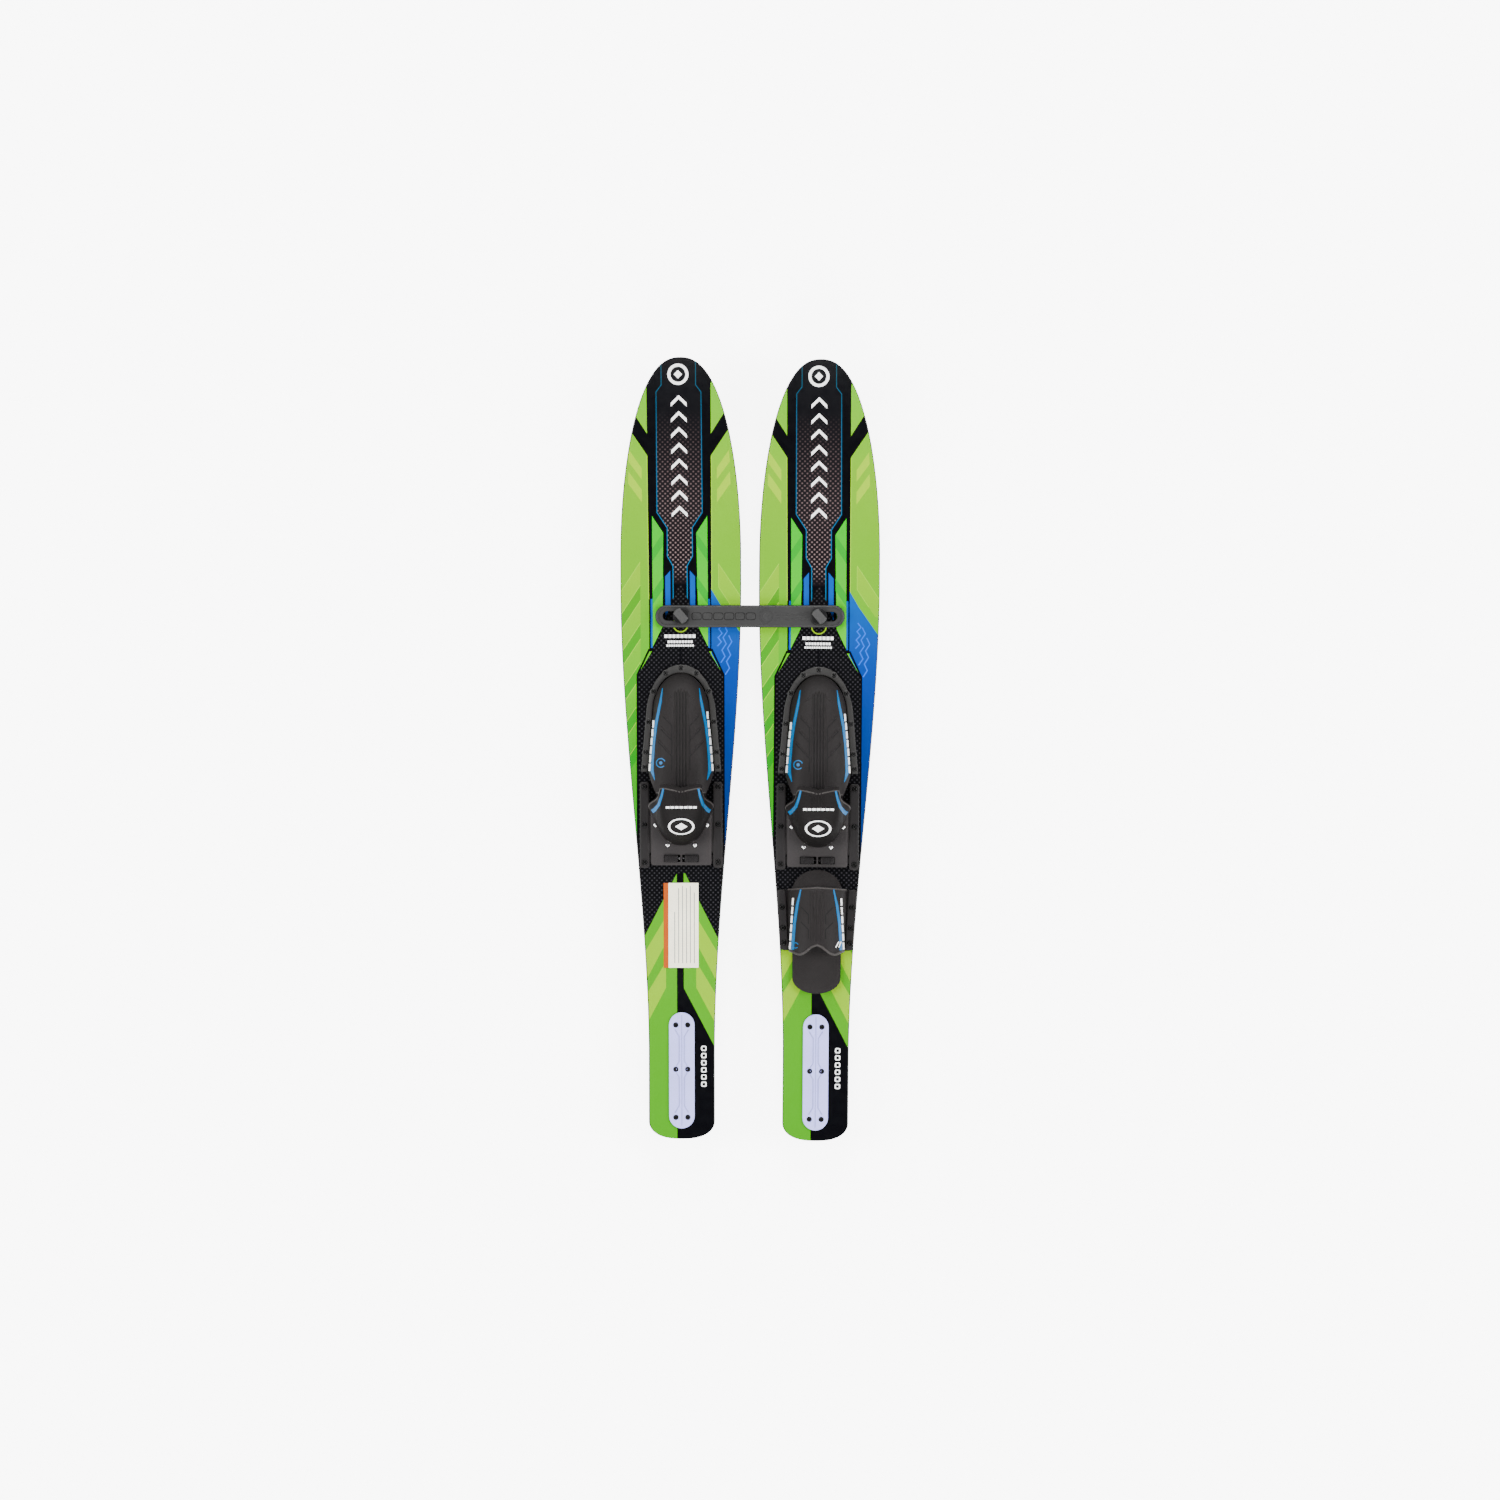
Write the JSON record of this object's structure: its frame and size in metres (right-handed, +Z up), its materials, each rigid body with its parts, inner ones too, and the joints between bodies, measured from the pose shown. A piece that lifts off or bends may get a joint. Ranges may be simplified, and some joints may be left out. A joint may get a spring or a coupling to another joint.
{
  "type": "water ski pair",
  "caption": "Pair of water skis with adjustable rubber bindings, a rear toe strap on one ski, drop-through fins and a removable trainer bar.",
  "frame": {"origin": "centre of the bounding box in plan, on the plane that the two fins touch", "axes": "+Y towards the ski tips, +X to the right seen from above with the tips up, +Z up out of the decks; the running surfaces are level"},
  "size_m": [0.4566, 1.3754, 0.165],
  "materials": {
    "ski_graphic_laminate": "gloss laminate, printed green, blue and black",
    "fin_plastic": "satin moulded plastic",
    "frame_plastic": "satin moulded plastic",
    "binding_rubber": "matt soft rubber",
    "footbed_foam": "textured foam",
    "rail_plastic": "satin moulded plastic",
    "button_plastic": "satin moulded plastic",
    "bar_plastic": "fine-textured moulded plastic",
    "knob_plastic": "fine-textured moulded plastic",
    "bush_plastic": "smooth acetal",
    "black_screw": "black oxide",
    "brass": "machined",
    "spring_steel": "bright wire"
  },
  "bodies": {
    "bar": {"trainer_bar": "bar_plastic"},
    "left_pivot": {"left_pivot_bush": "bush_plastic"},
    "left_ski": {"left_ski_board": "ski_graphic_laminate", "left_fin": "fin_plastic", "left_toe_frame": "frame_plastic", "left_toe_piece": "binding_rubber", "left_toe_footbed": "footbed_foam", "left_rail_a": "rail_plastic", "left_rail_b": "rail_plastic", "left_threaded_insert": "brass", "left_rail_screw_a1": "black_screw", "left_rail_screw_a2": "black_screw", "left_rail_screw_a3": "black_screw", "left_rail_screw_b1": "black_screw", "left_rail_screw_b2": "black_screw", "left_rail_screw_b3": "black_screw"},
    "left_heel_carriage": {"left_heel_plate": "rail_plastic", "left_heel_piece": "binding_rubber", "left_heel_footbed": "footbed_foam", "left_latch_spring": "spring_steel"},
    "left_latch_a": {"left_latch_button_a": "button_plastic"},
    "left_latch_b": {"left_latch_button_b": "button_plastic"},
    "left_washer": {"left_washer": "bar_plastic"},
    "left_knob": {"left_knob": "knob_plastic"},
    "right_pivot": {"right_pivot_bush": "bush_plastic"},
    "right_ski": {"right_ski_board": "ski_graphic_laminate", "right_fin": "fin_plastic", "right_toe_frame": "frame_plastic", "right_toe_piece": "binding_rubber", "right_toe_footbed": "footbed_foam", "right_rail_a": "rail_plastic", "right_rail_b": "rail_plastic", "right_threaded_insert": "brass", "right_rear_toe_strap": "binding_rubber", "right_rear_toe_pad": "footbed_foam", "right_rear_rail_a": "rail_plastic", "right_rear_rail_b": "rail_plastic", "right_rail_screw_a1": "black_screw", "right_rail_screw_a2": "black_screw", "right_rail_screw_a3": "black_screw", "right_rail_screw_b1": "black_screw", "right_rail_screw_b2": "black_screw", "right_rail_screw_b3": "black_screw", "right_rear_rail_screw_a1": "black_screw", "right_rear_rail_screw_a2": "black_screw", "right_rear_rail_screw_a3": "black_screw", "right_rear_rail_screw_b1": "black_screw", "right_rear_rail_screw_b2": "black_screw", "right_rear_rail_screw_b3": "black_screw"},
    "right_heel_carriage": {"right_heel_plate": "rail_plastic", "right_heel_piece": "binding_rubber", "right_heel_footbed": "footbed_foam", "right_latch_spring": "spring_steel"},
    "right_latch_a": {"right_latch_button_a": "button_plastic"},
    "right_latch_b": {"right_latch_button_b": "button_plastic"},
    "right_washer": {"right_washer": "bar_plastic"},
    "right_knob": {"right_knob": "knob_plastic"}
  },
  "joints": [
    {"name": "left_slot_slide", "type": "slide", "parent": "bar", "child": "left_pivot", "axis": [1, 0, 0], "range_m": [-0.0228, 0]},
    {"name": "left_ski_swivel", "type": "hinge", "parent": "left_pivot", "child": "left_ski", "pos_m": [-0.1215, 0.2354, 0.067], "axis": [0, 0, 1], "range_deg": [-5, 5]},
    {"name": "left_heel_adjust", "type": "slide", "parent": "left_ski", "child": "left_heel_carriage", "axis": [-0.0021, 1, 0], "range_m": [0, 0.02]},
    {"name": "left_latch_a_press", "type": "slide", "parent": "left_heel_carriage", "child": "left_latch_a", "axis": [1, 0.0021, 0], "range_m": [0, 0.004], "stiffness_N_per_m": 800, "springref_m": -0.004, "deforming": ["left_latch_spring"]},
    {"name": "left_latch_b_press", "type": "slide", "parent": "left_heel_carriage", "child": "left_latch_b", "axis": [-1, -0.0021, 0], "range_m": [0, 0.004], "stiffness_N_per_m": 800, "springref_m": -0.004, "deforming": ["left_latch_spring"]},
    {"name": "left_knob_lift", "type": "slide", "parent": "left_ski", "child": "left_washer", "axis": [0, 0, 1], "range_m": [0, 0.0038]},
    {"name": "left_knob_turn", "type": "hinge", "parent": "left_washer", "child": "left_knob", "pos_m": [-0.1215, 0.2354, 0.08], "axis": [0, 0, 1], "range_deg": [0, 1080]},
    {"name": "right_slot_slide", "type": "slide", "parent": "bar", "child": "right_pivot", "axis": [1, 0, 0], "range_m": [0, 0.0228]},
    {"name": "right_ski_swivel", "type": "hinge", "parent": "right_pivot", "child": "right_ski", "pos_m": [0.1215, 0.2342, 0.067], "axis": [0, 0, 1], "range_deg": [-5, 5]},
    {"name": "right_heel_adjust", "type": "slide", "parent": "right_ski", "child": "right_heel_carriage", "axis": [0.0079, 1, 0], "range_m": [0, 0.02]},
    {"name": "right_latch_a_press", "type": "slide", "parent": "right_heel_carriage", "child": "right_latch_a", "axis": [1, -0.0079, 0], "range_m": [0, 0.004], "stiffness_N_per_m": 800, "springref_m": -0.004, "deforming": ["right_latch_spring"]},
    {"name": "right_latch_b_press", "type": "slide", "parent": "right_heel_carriage", "child": "right_latch_b", "axis": [-1, 0.0079, 0], "range_m": [0, 0.004], "stiffness_N_per_m": 800, "springref_m": -0.004, "deforming": ["right_latch_spring"]},
    {"name": "right_knob_lift", "type": "slide", "parent": "right_ski", "child": "right_washer", "axis": [0, 0, 1], "range_m": [0, 0.0038]},
    {"name": "right_knob_turn", "type": "hinge", "parent": "right_washer", "child": "right_knob", "pos_m": [0.1215, 0.2342, 0.08], "axis": [0, 0, 1], "range_deg": [0, 1080]}
  ],
  "couplings": [
    {"joint": "left_knob_lift", "follows": "left_knob_turn", "m_per_rad": 0.00019894},
    {"joint": "right_knob_lift", "follows": "right_knob_turn", "m_per_rad": 0.00019894}
  ]
}
